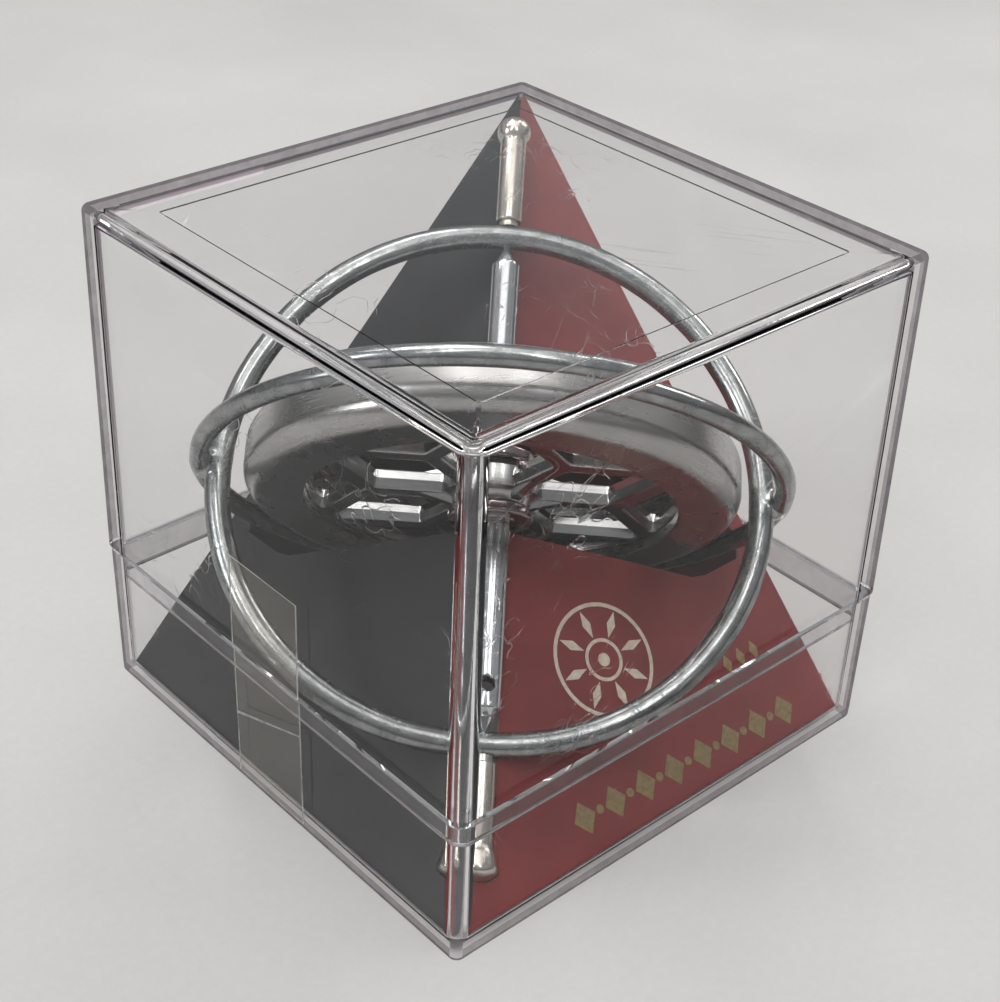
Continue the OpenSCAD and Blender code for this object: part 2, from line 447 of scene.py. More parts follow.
def plated_wire():
    """Plating over bent wire: faint orange peel, dark scuffs and fine scratches."""
    material = new_material("plated_wire", Metallic=1.0, Roughness=0.2)
    peel = noise_value(material, 0.5, detail=4, rough=0.6)
    patches = noise_value(material, 3.0, detail=6, rough=0.7)
    worn = scratches(material, (20, 30, 40), 4.0, 0.35, amount=0.03, cover=0.45)
    plating = remap(patches, 0.3, 0.7)
    tone = combine("SUBTRACT", plating, times(worn, 0.5))
    set_colour(tone, (0.17, 0.18, 0.18), (0.44, 0.45, 0.45))
    shine = plus(remap(patches, 0.3, 0.7, 0.26, 0.14), times(worn, 0.12))
    to_shader(shine, "Roughness")
    height = combine("SUBTRACT", peel, times(worn, 0.6))
    set_bump(height, 0.009)
    return material


def cast_metal(name, dark, light, low, high, depth):
    """Plated die casting: faintly brushed round its axis, with soft clouds in the plating."""
    material = new_material(name, Metallic=1.0, Roughness=low)
    patches = noise_value(material, 5, detail=3, rough=0.55)
    brushed = noise_value(material, 1.0, stretch=(9, 9, 0.22), detail=2, place=GYRO)
    tone = plus(times(patches, 0.6), times(brushed, 0.4))
    set_colour(remap(tone, 0.32, 0.68), dark, light)
    to_shader(remap(tone, 0.3, 0.7, high, low), "Roughness")
    set_bump(brushed, depth)
    return material


def turned_metal(name, dark, light, low, high):
    """Polished bar with fine turning marks round its axis."""
    material = new_material(name, Metallic=1.0, Roughness=low)
    rings = noise_value(material, 1.0, stretch=(30, 30, 0.09), detail=3, place=GYRO)
    patches = noise_value(material, 1.6, stretch=(1, 1, 3), detail=5, rough=0.65, place=GYRO)
    set_colour(remap(patches, 0.3, 0.7), dark, light)
    shine = plus(remap(rings, 0.3, 0.7, 0.0, 0.06), remap(patches, 0.3, 0.7, high, low))
    to_shader(shine, "Roughness")
    set_bump(rings, 0.004)
    return material


def floor_surface():
    """Matt pale board with a faint tooth."""
    material = new_material("pale_board", Roughness=0.75)
    tooth = noise_value(material, 1.2, detail=5, rough=0.65)
    cloud = noise_value(material, 60, detail=3)
    mixed = plus(times(tooth, 0.3), times(cloud, 0.7))
    set_colour(remap(mixed, 0.3, 0.7), (0.455, 0.447, 0.44), (0.525, 0.52, 0.515))
    set_bump(tooth, 0.05)
    return material


CLEAR = clear_plastic()
# The box's rounded edges, rubbed a little milky, and the two dusty faces inside the lid's joint
CLEAR_EDGE = hazy_plastic("clear_plastic_edge", 1.4, (0.72, 0.70, 0.72), (0.90, 0.885, 0.90), (0.03, 0.14),
                          0.006, Roughness=0.1, IOR=1.45, Transmission_Weight=0.85)
JOINT = hazy_plastic("clear_plastic_joint", 1.8, (0.83, 0.82, 0.83), (0.97, 0.965, 0.97), (0.02, 0.12),
                     0.004, Roughness=0.06, IOR=1.12, Transmission_Weight=0.93)
CLEAR_STRIP = clear_strip("clear_plastic_strip", (0.76, 0.735, 0.75), (0.86, 0.84, 0.85))
# A dark tint that paints shade along the box's far and lower edges
SHADE_STRIP = clear_strip("plastic_strip_painted_shade", (0.23, 0.205, 0.225), (0.40, 0.37, 0.39))
TAPE = clear_tape()
TAPE_EDGE = tape_edge()
RED = card("red_card", (0.155, 0.022, 0.022), (0.215, 0.034, 0.033))
BLACK = card("black_card", (0.012, 0.012, 0.013), (0.020, 0.020, 0.021))
RED_CUT = paper_edge("red_card_cut", (0.30, 0.16, 0.15), (0.50, 0.36, 0.34))
BLACK_CUT = paper_edge("black_card_cut", (0.020, 0.020, 0.020), (0.055, 0.053, 0.050))
WIRE = plated_wire()
RIM_METAL = cast_metal("wheel_rim_metal", (0.40, 0.39, 0.38), (0.50, 0.49, 0.48), 0.24, 0.32, 0.003)
WEB_METAL = cast_metal("wheel_web_metal", (0.34, 0.34, 0.34), (0.52, 0.52, 0.51), 0.10, 0.22, 0.004)
STEM = turned_metal("stem_nickel", (0.50, 0.47, 0.42), (0.68, 0.64, 0.58), 0.12, 0.28)
AXLE = turned_metal("axle_steel", (0.52, 0.54, 0.55), (0.72, 0.74, 0.75), 0.05, 0.13)
# The collar's dark reddish colour is a painted reflection of the red card
COLLAR_RED_REFLECTION = turned_metal("collar_metal", (0.24, 0.19, 0.19), (0.36, 0.30, 0.30), 0.06, 0.14)
EMBLEM_INK = printed_ink("emblem_ink", (0.50, 0.42, 0.32), (0.72, 0.63, 0.51), 0.0, 0.45)
BORDER_FOIL = printed_ink("border_foil", (0.22, 0.16, 0.07), (0.36, 0.27, 0.13), 0.7, 0.38)
# Near-black metal inside the string hole: painted shade in the bore
BORE_SHADE = cast_metal("bore_painted_shade", (0.010, 0.009, 0.008), (0.035, 0.03, 0.027), 0.5, 0.7, 0.01)


# ---------------- display box

CORNER_R = 1.1        # upright corners of the box, outside
RIM_R = 0.8           # round edge of the lid's top and the base's bottom
INNER_CORNER_R = 0.8
INNER_FILLET = 0.5
LIP_R = 0.25          # small round at the joint line
JOINT_GAP = 0.03      # half the gap that shows at the joint line
WALL_DRAFT = 0.25     # how much narrower each lid wall is at its top
BASE_DRAFT = 0.1      # and each base wall at its foot
CORNER_STEPS = 10

lid_low, lid_high = node_box("lid_shell")
base_high = node_box("base_tray")[1]
LID_HALF = lid_high.x
BASE_HALF = base_high.x
BOX_H = lid_high.z
SEAM_Z = base_high.z
TONGUE_Z = lid_low.z
PLATE = 1.8           # thickness of the lid's top and the base's floor
WALL = 2.1            # thickness of the lid's walls at the joint
INNER_HALF = LID_HALF - WALL
TONGUE_HALF = INNER_HALF + 0.7
REBATE_HALF = TONGUE_HALF + 0.15
INSET_HALF = 24.8     # half the faint square step in the lid's top
INSET_DEPTH = 0.2
# Where the clear strip and then the dark strip of painted shade begin: from the middle, up the lid, down the base
STRIP_AT = (INNER_HALF - 1.2, INNER_HALF + 0.4)
STRIP_TOP = (BOX_H - 3.1, BOX_H - 1.7)
STRIP_LOW = (2.8, 1.9)


def square_ring(half, radius, z):
    """Points round a square with round corners."""
    ring = []
    for corner in range(4):
        middle = radians(45 + 90 * corner)
        cx = copysign(half - radius, cos(middle))
        cy = copysign(half - radius, sin(middle))
        for k in range(CORNER_STEPS + 1):
            t = radians(90 * corner + 90 * k / CORNER_STEPS)
            ring.append((cx + radius * cos(t), cy + radius * sin(t), z))
        nx, ny = round(cos(t)), round(sin(t))
        flat = half - radius
        clear_at, tinted_at = min(STRIP_AT[0], flat - 0.2), min(STRIP_AT[1], flat - 0.1)
        for reach in (-tinted_at, -clear_at, clear_at, tinted_at):
            ring.append((nx * half - ny * reach, ny * half + nx * reach, z))
    return ring


def loft(rings):
    """Points and faces through a list of rings, closed at both ends."""
    points = [p for ring in rings for p in ring]
    count = len(rings[0])
    faces = [list(range(count)), list(range(len(points) - count, len(points)))]
    for row in range(len(rings) - 1):
        faces += band(row * count, (row + 1) * count, count)
    return points, faces


def fillet_rings(half, z, radius, start, end, corner, steps=6):
    """Rings round an edge: the fillet's centre is at (half, z), and the corner radius grows outward."""
    rings = []
    for r, height in arc(half, z, radius, start, end, steps):
        rings.append(square_ring(r, max(0.03, corner + (r - half)), height))
    return rings


def lid_rings():
    top_half = LID_HALF - WALL_DRAFT
    tongue_lip = 0.15
    ceiling = BOX_H - PLATE
    rings = [square_ring(at, 0.05, BOX_H) for at in STRIP_AT]
    rings += fillet_rings(top_half - RIM_R, BOX_H - RIM_R, RIM_R, 90, 0, CORNER_R - RIM_R, steps=8)
    for z in reversed(STRIP_TOP):
        rings.append(square_ring(LID_HALF - WALL_DRAFT * (z - SEAM_Z) / (BOX_H - SEAM_Z), CORNER_R, z))
    rings += fillet_rings(LID_HALF - LIP_R, SEAM_Z + JOINT_GAP + LIP_R, LIP_R, 0, -90, CORNER_R - LIP_R)
    rings.append(square_ring(TONGUE_HALF + 0.02, INNER_CORNER_R, SEAM_Z + JOINT_GAP))
    rings.append(square_ring(TONGUE_HALF, INNER_CORNER_R, SEAM_Z))
    rings += fillet_rings(TONGUE_HALF - tongue_lip, TONGUE_Z + tongue_lip, tongue_lip, 0, -90,
                          INNER_CORNER_R - tongue_lip, steps=4)
    rings += fillet_rings(INNER_HALF + tongue_lip, TONGUE_Z + tongue_lip, tongue_lip, -90, -180,
                          INNER_CORNER_R + tongue_lip, steps=4)
    rings += fillet_rings(INNER_HALF - INNER_FILLET, ceiling - INNER_FILLET, INNER_FILLET, 0, 90,
                          INNER_CORNER_R - INNER_FILLET)
    rings.append(square_ring(INSET_HALF + 0.06, 0.3, ceiling))
    rings.append(square_ring(INSET_HALF, 0.3, ceiling + INSET_DEPTH))
    return rings


def base_rings():
    foot_half = BASE_HALF - BASE_DRAFT
    ledge_z = TONGUE_Z - 0.1
    mouth, ledge_r = 0.15, 0.1      # small rounds at the rebate's top and on its ledge
    rings = fillet_rings(foot_half - RIM_R, RIM_R, RIM_R, -90, 0, CORNER_R - RIM_R, steps=8)
    for z in reversed(STRIP_LOW):
        rings.append(square_ring(foot_half + BASE_DRAFT * z / SEAM_Z, CORNER_R, z))
    rings += fillet_rings(BASE_HALF - LIP_R, SEAM_Z - JOINT_GAP - LIP_R, LIP_R, 0, 90, CORNER_R - LIP_R)
    rings += fillet_rings(REBATE_HALF + mouth, SEAM_Z - JOINT_GAP - mouth, mouth, 90, 180,
                          INNER_CORNER_R + mouth, steps=4)
    rings.append(square_ring(REBATE_HALF, INNER_CORNER_R, ledge_z + ledge_r))
    rings.append(square_ring(REBATE_HALF - ledge_r, INNER_CORNER_R, ledge_z))
    rings += fillet_rings(INNER_HALF + ledge_r, ledge_z - ledge_r, ledge_r, 90, 180,
                          INNER_CORNER_R + ledge_r, steps=3)
    rings += fillet_rings(INNER_HALF - INNER_FILLET, PLATE + INNER_FILLET, INNER_FILLET, 0, -90,
                          INNER_CORNER_R - INNER_FILLET)
    return rings


def strip(value, marks):
    """3 past the second mark, 2 past the first, else 0."""
    return 3 if value > marks[1] else 2 if value > marks[0] else 0


def shell_material(centre, normal):
    """0 wall, 1 near rounded edge, 2 clear strip and 3 strip of painted shade by a far or lower edge, 4 joint."""
    x, y, z = centre / MM
    reach = max(abs(x), abs(y))
    low_marks = [-mark for mark in STRIP_LOW]
    if TONGUE_HALF - 0.05 < reach < REBATE_HALF + 0.05 and z < SEAM_Z - 0.2 and abs(normal.z) < 0.5:
        return 4
    if reach > REBATE_HALF - 0.5 and max(abs(c) for c in normal) < 0.995:
        # Rounded edges on the far sides and at the foot get the painted shade too
        far_side = x * y < 0 or x + y > 0
        return 3 if z < RIM_R or (far_side and abs(z - SEAM_Z) > 1) else 1
    if z < 0.1 and normal.z < -0.99:
        return 2
    if z > BOX_H - 0.1 and normal.z > 0.99:
        return strip(max(x, y), STRIP_AT)
    if reach < REBATE_HALF + 0.3 or abs(normal.z) > 0.5:
        return 0
    along = y if abs(normal.x) > 0.99 else x
    if min(normal.x, normal.y) < -0.99:
        return max(strip(along, STRIP_AT), strip(-z, low_marks))
    return max(strip(-along, STRIP_AT), strip(z, STRIP_TOP))


def make_clear_shell(name, rings, body, cad_node):
    """A clear moulding, closed from its list of rings."""
    obj = add_mesh(name, *loft(rings))
    smooth(obj, 50, weighted=True)
    materials = [CLEAR, CLEAR_EDGE, CLEAR_STRIP, SHADE_STRIP, JOINT]
    finish_piece(obj, body, "clear_plastic", materials, [cad_node])
    for polygon in obj.data.polygons:
        polygon.material_index = shell_material(polygon.center, polygon.normal)
    let_light_through(obj)


make_clear_shell("clear_lid", lid_rings(), "lid", "lid_shell")
make_clear_shell("clear_base", base_rings(), "base", "base_tray")


# ---------------- tape

TAPE_LIFT = 0.012     # air between the tape and the wall
TAPE_T = 0.055
TAPE_COLS = 24
TAPE_RIM = 0.13       # width of the tape's light edge


def tape_sheet(name, wall_x, y_low, y_high, rows, body, cad_node):
    """A strip of tape on the wall that faces -X. rows is a list of (z, tilt, lift, crease)."""
    def point(side, row, k):
        z_middle, tilt, lift, _ = rows[row]
        inner = y_low + TAPE_RIM + (y_high - y_low - 2 * TAPE_RIM) * (k - 1) / (TAPE_COLS - 2)
        y = {0: y_low, TAPE_COLS: y_high}.get(k, inner)
        z = z_middle + tilt * (0.5 - (y - y_low) / (y_high - y_low))
        ripple = 0.006 * noise.noise(Vector((y * 0.6, z * 0.35, 4)))
        return wall_x - TAPE_LIFT - lift - max(0, ripple) - side * TAPE_T, y, z

    obj = thin_sheet(name, len(rows) - 1, TAPE_COLS, point)
    light_faces = []
    for row in rows[:-1]:
        for k in range(TAPE_COLS):
            light_faces += [row[3] or k in (0, TAPE_COLS - 1)] * 2
    smooth(obj, 40)
    finish_piece(obj, body, "clear_tape", [TAPE, TAPE_EDGE], [cad_node])
    for polygon in obj.data.polygons:
        sheet_face = polygon.index < len(light_faces)
        polygon.material_index = int(light_faces[polygon.index]) if sheet_face else 1
    let_light_through(obj)


def make_tape():
    low, high = node_box("tape_upper")
    rise = high.z - 1.2 - low.z
    steps = 12
    upper = []
    for k in range(steps + 1):
        z = low.z + rise * k / steps
        upper.append((z, 0.0, -WALL_DRAFT * (z - SEAM_Z) / (BOX_H - SEAM_Z), False))
    tape_sheet("tape_strip_upper", -LID_HALF, low.y, high.y, upper, "lid", "tape_upper")
    low, high = node_box("tape_lower")
    crease_z, crease_h, crease_tilt, reach = 11.2, 0.26, 4.0, 6.5
    heights = [low.z + (crease_z - low.z) * k / steps for k in range(steps)] + [crease_z]
    heights += [crease_z + crease_h + (high.z - crease_z - crease_h) * k / steps for k in range(steps + 1)]
    lower = []
    for z in heights:
        tilt = crease_tilt * max(0.0, 1 - abs(z - crease_z) / reach)
        draft = BASE_DRAFT * (SEAM_Z - z) / SEAM_Z
        lift = 0.02 if abs(z - crease_z - crease_h / 2) < crease_h else 0.0
        lower.append((z, tilt, lift - draft, z == crease_z))
    tape_sheet("tape_strip_lower", -BASE_HALF, low.y, high.y, lower, "base", "tape_lower")


make_tape()


# ---------------- folded card

STEM_R = 1.5
BALL_R = 1.95
CARD_T = 0.4
CARD_BULGE = 0.12
panel_low, panel_high = node_box("card_red_panel")
CARD_HALF = panel_high.x
CARD_Z = panel_low.z
CARD_TOP = panel_high.z
CARD_RISE = CARD_TOP - CARD_Z
SLOPE = hypot(2 * CARD_HALF, CARD_RISE)
ALONG = Vector((0, 2 * CARD_HALF, CARD_RISE)) / SLOPE
OUTWARD = Vector((0, -CARD_RISE, 2 * CARD_HALF)) / SLOPE


def red_point(x, climb, lift=0.0):
    """A point on the red panel: x across, climb mm up the slope, lift mm off its face."""
    ridge_x = -CARD_HALF + climb * 2 * CARD_HALF / SLOPE
    span = max(CARD_HALF - ridge_x, 0.01)
    share = min(max((x - ridge_x) / span, 0.0), 1.0)
    bulge = CARD_BULGE * 4 * share * (1 - share) * min(1.0, span / 20) * min(1.0, climb / 8)
    foot = Vector((x, -CARD_HALF, CARD_Z))
    return foot + ALONG * climb + OUTWARD * (bulge + lift)


def panel_mesh(name, mirrored):
    """A sloping triangular panel of the card, as a closed thin sheet."""
    rows, cols = 36, 20
    summit = 0.9985      # the share of the slope at which the narrow tip is cut off

    def point(side, i, k):
        climb = SLOPE * min(i / rows, summit)
        ridge_x = -CARD_HALF + climb * 2 * CARD_HALF / SLOPE
        p = red_point(ridge_x + (CARD_HALF - ridge_x) * k / cols, climb, -side * CARD_T)
        return (p.y, p.x, p.z) if mirrored else tuple(p)

    return thin_sheet(name, rows, cols, point)


def cutter(points, faces):
    return add_mesh("cutter", points, faces, GYRO)


def foot_profile(end, grow=0.0):
    """The foot's outline from its waist to its flat end, grown by some clearance."""
    profile = arc(STEM_R + 2.4, end + 4.3, 2.4 - grow, 180, 214, 6)
    profile += arc(1.35, end + 1.35, 0.9 + grow, 25, -60, 8)
    return profile + [(1.2 + grow, end + 0.12 - grow), (0.5, end - grow), (0, end - grow)]


def card_cutters():
    """Room in the card for the wheel, both rings, the stems and the foot."""
    clear = 0.07
    wheel_r = gyro_box("flywheel")[1].x + 0.4
    equator_r = gyro_box("equator_ring")[1].x + 0.6
    ring_high = gyro_box("polar_ring")[1]
    wire_r = ring_high.y
    stem_r = STEM_R + clear
    tip = gyro_box("ball_stem")[1].z
    end = gyro_box("foot_stem")[0].z
    ring_points, ring_faces = torus(ring_high.x - wire_r, wire_r + clear, 192, 24)
    slot = [(0, -5.2), (wheel_r - 0.6, -5.2), (wheel_r + 1.6, -4.4)]
    slot += [(equator_r, -1.45), (equator_r, 1.45)]
    slot += [(wheel_r + 2, 5), (wheel_r, 6), (0, 6)]
    stem = [(0, end + 5), (stem_r, end + 5), (stem_r, tip - 4.2), (BALL_R + clear, tip - 4.0)]
    stem += [(BALL_R + clear, tip + 0.2), (0, tip + 0.2)]
    shoe = [(0, end + 5.1), (stem_r, end + 5.1)] + foot_profile(end, clear)
    cutters = [cutter(*lathe(p, 128)) for p in (slot, stem, shoe)]
    return cutters + [cutter(turned(ring_points, UPRIGHT), ring_faces)]


def make_card():
    """Both panels. Their cut edges get each card's second material."""
    black_outward = Vector((OUTWARD.y, OUTWARD.x, OUTWARD.z))
    for name, mirrored, face, inks, slot, cad_node in (
            ("card_red_slope", False, OUTWARD, [RED, RED_CUT], "red_card", "card_red_panel"),
            ("card_black_slope", True, black_outward, [BLACK, BLACK_CUT],
             "black_card", "card_black_panel")):
        obj = cut(panel_mesh(name, mirrored), *card_cutters())
        smooth(obj, 30)
        finish_piece(obj, "insert", slot, inks, [cad_node])
        for polygon in obj.data.polygons:
            polygon.material_index = 0 if abs(polygon.normal.dot(face)) > 0.6 else 1
    for cad_node, ink in (("card_back_right", RED), ("card_back_left", BLACK)):
        materials = frame["nodes"][cad_node].data.materials
        materials.clear()
        materials.append(ink)


make_card()


# ---------------- printed ornament on the red panel

PRINT_LIFT = 0.02
PRINT_T = 0.015


def printed(name, outlines, material):
    """Flat printed shapes on the red panel. Each outline is a list of (x, climb) points."""
    points, faces = [], []
    for outline in outlines:
        first = len(points)
        count = len(outline)
        for lift in (PRINT_LIFT, PRINT_LIFT + PRINT_T):
            points += [tuple(red_point(x, s, lift)) for x, s in outline]
        faces.append([first + k for k in range(count)])
        faces.append([first + count + k for k in range(count)])
        faces += band(first, first + count, count)
    finish_piece(add_mesh(name, points, faces), "insert", "red_card", [material])


def moved(outline, x, climb, turn=0.0):
    c, s = cos(radians(turn)), sin(radians(turn))
    return [(x + c * a - s * b, climb + s * a + c * b) for a, b in outline]


def lozenge(width, height):
    return [(-width / 2, 0), (0, -height / 2), (width / 2, 0), (0, height / 2)]


def disc(radius, steps=20):
    return [polar(radius, 2 * pi * k / steps) for k in range(steps)]


def ribbon(line, width):
    """Quads along a line of points, width mm wide."""
    outlines = []
    for (x0, y0), (x1, y1) in zip(line, line[1:]):
        length = hypot(x1 - x0, y1 - y0)
        nx, ny = -(y1 - y0) / length * width / 2, (x1 - x0) / length * width / 2
        outlines.append([(x0 + nx, y0 + ny), (x1 + nx, y1 + ny), (x1 - nx, y1 - ny), (x0 - nx, y0 - ny)])
    return outlines


def make_print():
    """A plain rosette, and a border of lozenges and dots along the panel's foot."""
    centre_x, centre_s = 1.8, 17.4
    rosette = []
    for radius, width in ((6.2, 0.45), (2.2, 0.4)):
        circle = disc(radius, 40)
        rosette += [moved(q, centre_x, centre_s) for q in ribbon(circle + circle[:1], width)]
    for k in range(8):
        petal = moved(lozenge(3.2, 1.1), 4.2, 0)
        rosette.append(moved(petal, centre_x, centre_s, 45 * k))
    rosette.append(moved(disc(0.75), centre_x, centre_s))
    printed("card_print_rosette", rosette, EMBLEM_INK)
    border = []
    start_x, end_x, low_s, high_s = -9.6, 21.4, 3.9, 2.8
    count = 8
    for k in range(count):
        share = k / (count - 1)
        x, s = start_x + (end_x - start_x) * share, low_s + (high_s - low_s) * share
        border.append(moved(lozenge(3.0, 3.7), x, s))
        if k < count - 1:
            border.append(moved(disc(0.5), x + (end_x - start_x) / (count - 1) / 2, s))
    for x in (17.0, 19.2, 21.4):
        border.append(moved(lozenge(1.3, 2.4), x, 10.4))
    printed("card_print_border", border, BORDER_FOIL)


make_print()


# ---------------- gyroscope frame

polar_high = gyro_box("polar_ring")[1]
equator_high = gyro_box("equator_ring")[1]
POLAR_WIRE = polar_high.y
POLAR_R = polar_high.x - POLAR_WIRE
EQUATOR_WIRE = equator_high.z
EQUATOR_R = equator_high.x - EQUATOR_WIRE


def make_rings():
    for name, ring_r, wire_r, turn, dent, seed, cad_node in (
            ("ring_polar", POLAR_R, POLAR_WIRE, UPRIGHT, 2.2, 0, "polar_ring"),
            ("ring_equator", EQUATOR_R, EQUATOR_WIRE, None, 1.8, 5, "equator_ring")):
        points, faces = torus(ring_r, wire_r - 0.02, 320)
        ring = add_mesh(name, turned(points, turn) if turn else points, faces, GYRO)
        roughen(ring, 0.012, dent, seed)
        finish_piece(smooth(ring), "insert", "ring_metal", [WIRE], [cad_node])


def bent_wire(ring_r, thick, thin, reach, upright):
    """A short arc of wire about +X, thickest in its middle, as rings of points."""
    steps, sides = 16, 16
    points, faces = [], []
    for i in range(steps + 1):
        share = 2 * i / steps - 1
        t = share * reach / ring_r
        r = thick + (thin - thick) * share * share
        for k in range(sides):
            a = 2 * pi * k / sides
            out, side = ring_r + r * cos(a), r * sin(a)
            across, along = out * sin(t), out * cos(t)
            points.append((along, side, across) if upright else (along, across, side))
    for i in range(steps):
        faces += band(i * sides, (i + 1) * sides, sides)
    faces += [list(range(sides)), list(range(steps * sides, (steps + 1) * sides))]
    return points, faces


def make_welds():
    """Brazed crossings of the two rings, with soft fillets."""
    parts = [bent_wire(POLAR_R, POLAR_WIRE + 0.05, POLAR_WIRE - 0.12, 4.2, True),
             bent_wire(EQUATOR_R, EQUATOR_WIRE + 0.10, EQUATOR_WIRE - 0.12, 4.2, False)]
    bead = lathe(arc(0, 0, 1.75, -90, 90, 12), 24)
    middle = (POLAR_R + EQUATOR_R) / 2
    parts.append(([(x + middle, y, z) for x, y, z in bead[0]], bead[1]))
    points, faces = [], []
    for flip in (1, -1):
        for part_points, part_faces in parts:
            first = len(points)
            points += [(flip * x, flip * y, z) for x, y, z in part_points]
            faces += [[first + i for i in f] for f in part_faces]
    obj = add_mesh("ring_welds", points, faces, GYRO)
    remesh = obj.modifiers.new("remesh", "REMESH")
    remesh.mode = "VOXEL"
    remesh.voxel_size = 0.13 * MM
    relax = obj.modifiers.new("relax", "SMOOTH")
    relax.iterations = 14
    evaluated(obj)
    roughen(obj, 0.02, 0.9, 9)
    finish_piece(smooth(obj, 180), "insert", "ring_metal", [WIRE], ["weld_beads"])


def make_stems():
    """Each stem is a neck at the wheel, a shoulder and a bar that ends in the ball or the foot."""
    neck_r, neck_h, shoulder = 1.1, 0.7, 0.2
    ball_low, ball_high = gyro_box("ball_stem")
    foot_low, foot_high = gyro_box("foot_stem")
    ball_z = ball_high.z - BALL_R
    meet = degrees(acos(STEM_R / BALL_R))
    ball_end = [(STEM_R, ball_z - 4.0), (STEM_R, ball_z - 1.6)] + arc(0, ball_z, BALL_R, -meet, 90, 22)
    foot_end = [(STEM_R, foot_low.z + 4.6)] + foot_profile(foot_low.z)
    for name, root, out, end, cad_node in (
            ("stem_with_ball", ball_low.z, 1, ball_end, "ball_stem"),
            ("stem_with_foot", foot_high.z, -1, foot_end, "foot_stem")):
        profile = [(0, root), (neck_r, root), (neck_r, root + out * neck_h)]
        profile += arc(STEM_R - shoulder, root + out * (neck_h + shoulder), shoulder, -90 * out, 0, 4)
        obj = add_mesh(name, *lathe(profile + end, 64), GYRO)
        finish_piece(smooth(obj, 40), "insert", "stem_metal", [STEM], [cad_node])


make_rings()
make_welds()
make_stems()


# ---------------- rotor

wheel_low, wheel_high = gyro_box("flywheel")
WHEEL_R = wheel_high.x
RIM_LOW, RIM_HIGH = wheel_low.z, wheel_high.z
RIM_IN_R = 19.5
RIM_ROUND = 2.6
WEB_LOW, WEB_HIGH = -1.9, 0.4
SPOKE_W = 2.0
FORK_R = 12.6
HUB_R = 4.6
AXLE_R = 1.65


def rounded(outline, radius, steps=5):
    """Rounds the corners of a closed outline. radius holds one value per point, 0 to leave it."""
    result = []
    count = len(outline)
    for k, point in enumerate(outline):
        r = radius[k]
        here = Vector(point)
        back, ahead = Vector(outline[k - 1]) - here, Vector(outline[(k + 1) % count]) - here
        if r == 0:
            result.append(tuple(here))
            continue
        a, b = back.normalized(), ahead.normalized()
        half = a.angle(b) / 2
        reach = min(r / tan(half), 0.45 * back.length, 0.45 * ahead.length)
        r = reach * tan(half)
        centre = here + (a + b).normalized() * (r / sin(half))
        start, end = here + a * reach - centre, here + b * reach - centre
        sweep = start.angle_signed(end)
        for i in range(steps + 1):
            t = -sweep * i / steps
            c, s = cos(t), sin(t)
            result.append((centre.x + c * start.x - s * start.y, centre.y + s * start.x + c * start.y))
    return result


HALF_SPOKE = SPOKE_W / 2
SIXTH = radians(60)


def kite_opening():
    """Opening between two neighbouring stems, their forks' arms, the hub and the rim, about 30 degrees."""
    near = (sqrt(HUB_R * HUB_R - HALF_SPOKE * HALF_SPOKE), HALF_SPOKE)
    fork = (FORK_R - HALF_SPOKE * (1 - cos(SIXTH)) / sin(SIXTH), HALF_SPOKE)
    tip_r = 2 * (FORK_R * sin(SIXTH) - HALF_SPOKE) - 0.35
    tip = polar(tip_r, SIXTH / 2)

    def mirrored(p):
        x, y = p
        return x * cos(SIXTH) + y * sin(SIXTH), x * sin(SIXTH) - y * cos(SIXTH)

    outline = [near, fork, tip, mirrored(fork), mirrored(near)]
    return rounded(outline, [0.9, 0.5, 0.6, 0.5, 0.9])


def wedge_opening():
    """Opening between one fork's arms and the rim, about 0 degrees."""
    apex = (FORK_R + HALF_SPOKE / sin(SIXTH), 0)
    reach = RIM_IN_R - 0.1
    b = apex[0] * cos(SIXTH)
    travel = -b + sqrt(b * b - apex[0] ** 2 + reach * reach)
    corner = (apex[0] + travel * cos(SIXTH), travel * sin(SIXTH))
    turn = atan2(corner[1], corner[0])
    inner = [polar(reach, turn * k / 3) for k in (2, 1, 0, -1, -2)]
    outline = [apex, corner] + inner + [(corner[0], -corner[1])]
    return rounded(outline, [0.5, 1.1] + [0] * 5 + [1.1], steps=6)


def bulge_walls(obj, amount):
    """Cuts the walls at half height and moves the cut out, amount in mm, as a casting's draft does."""
    edit = bmesh.new()
    edit.from_mesh(obj.data)
    everything = edit.verts[:] + edit.edges[:] + edit.faces[:]
    bmesh.ops.bisect_plane(edit, geom=everything, dist=1e-8, plane_co=(0, 0, 0), plane_no=(0, 0, 1))
    edit.normal_update()
    for v in edit.verts:
        if abs(v.co.z) < 1e-7:
            v.co += Vector((v.normal.x, v.normal.y, 0)).normalized() * amount * MM
    edit.to_mesh(obj.data)
    edit.free()


def make_web():
    """The spoked web, cut from a flat disc with softened edges."""
    bevel = 0.28
    outlines = [disc(RIM_IN_R + 0.6, 96)]
    for k in range(6):
        outlines += [moved(opening, 0, 0, 60 * k) for opening in (kite_opening(), wedge_opening())]
    curve = bpy.data.curves.new("wheel_web", "CURVE")
    curve.dimensions = "2D"
    curve.fill_mode = "BOTH"
    curve.extrude = ((WEB_HIGH - WEB_LOW) / 2 - bevel) * MM
    curve.bevel_depth = bevel * MM
    curve.bevel_resolution = 3
    curve.offset = -bevel * MM
    for outline in outlines:
        spline = curve.splines.new("POLY")
        spline.points.add(len(outline) - 1)
        for point, (x, y) in zip(spline.points, outline):
            point.co = (x * MM, y * MM, 0, 1)
        spline.use_cyclic_u = True
    obj = bpy.data.objects.new("wheel_web", curve)
    scene.collection.objects.link(obj)
    obj.matrix_world = GYRO @ Matrix.Translation((0, 0, (WEB_LOW + WEB_HIGH) / 2 * MM))
    obj = evaluated(obj)
    bulge_walls(obj, 0.26)
    finish_piece(smooth(obj, 30, weighted=True), "rotor", "wheel_metal", [WEB_METAL], ["flywheel"])


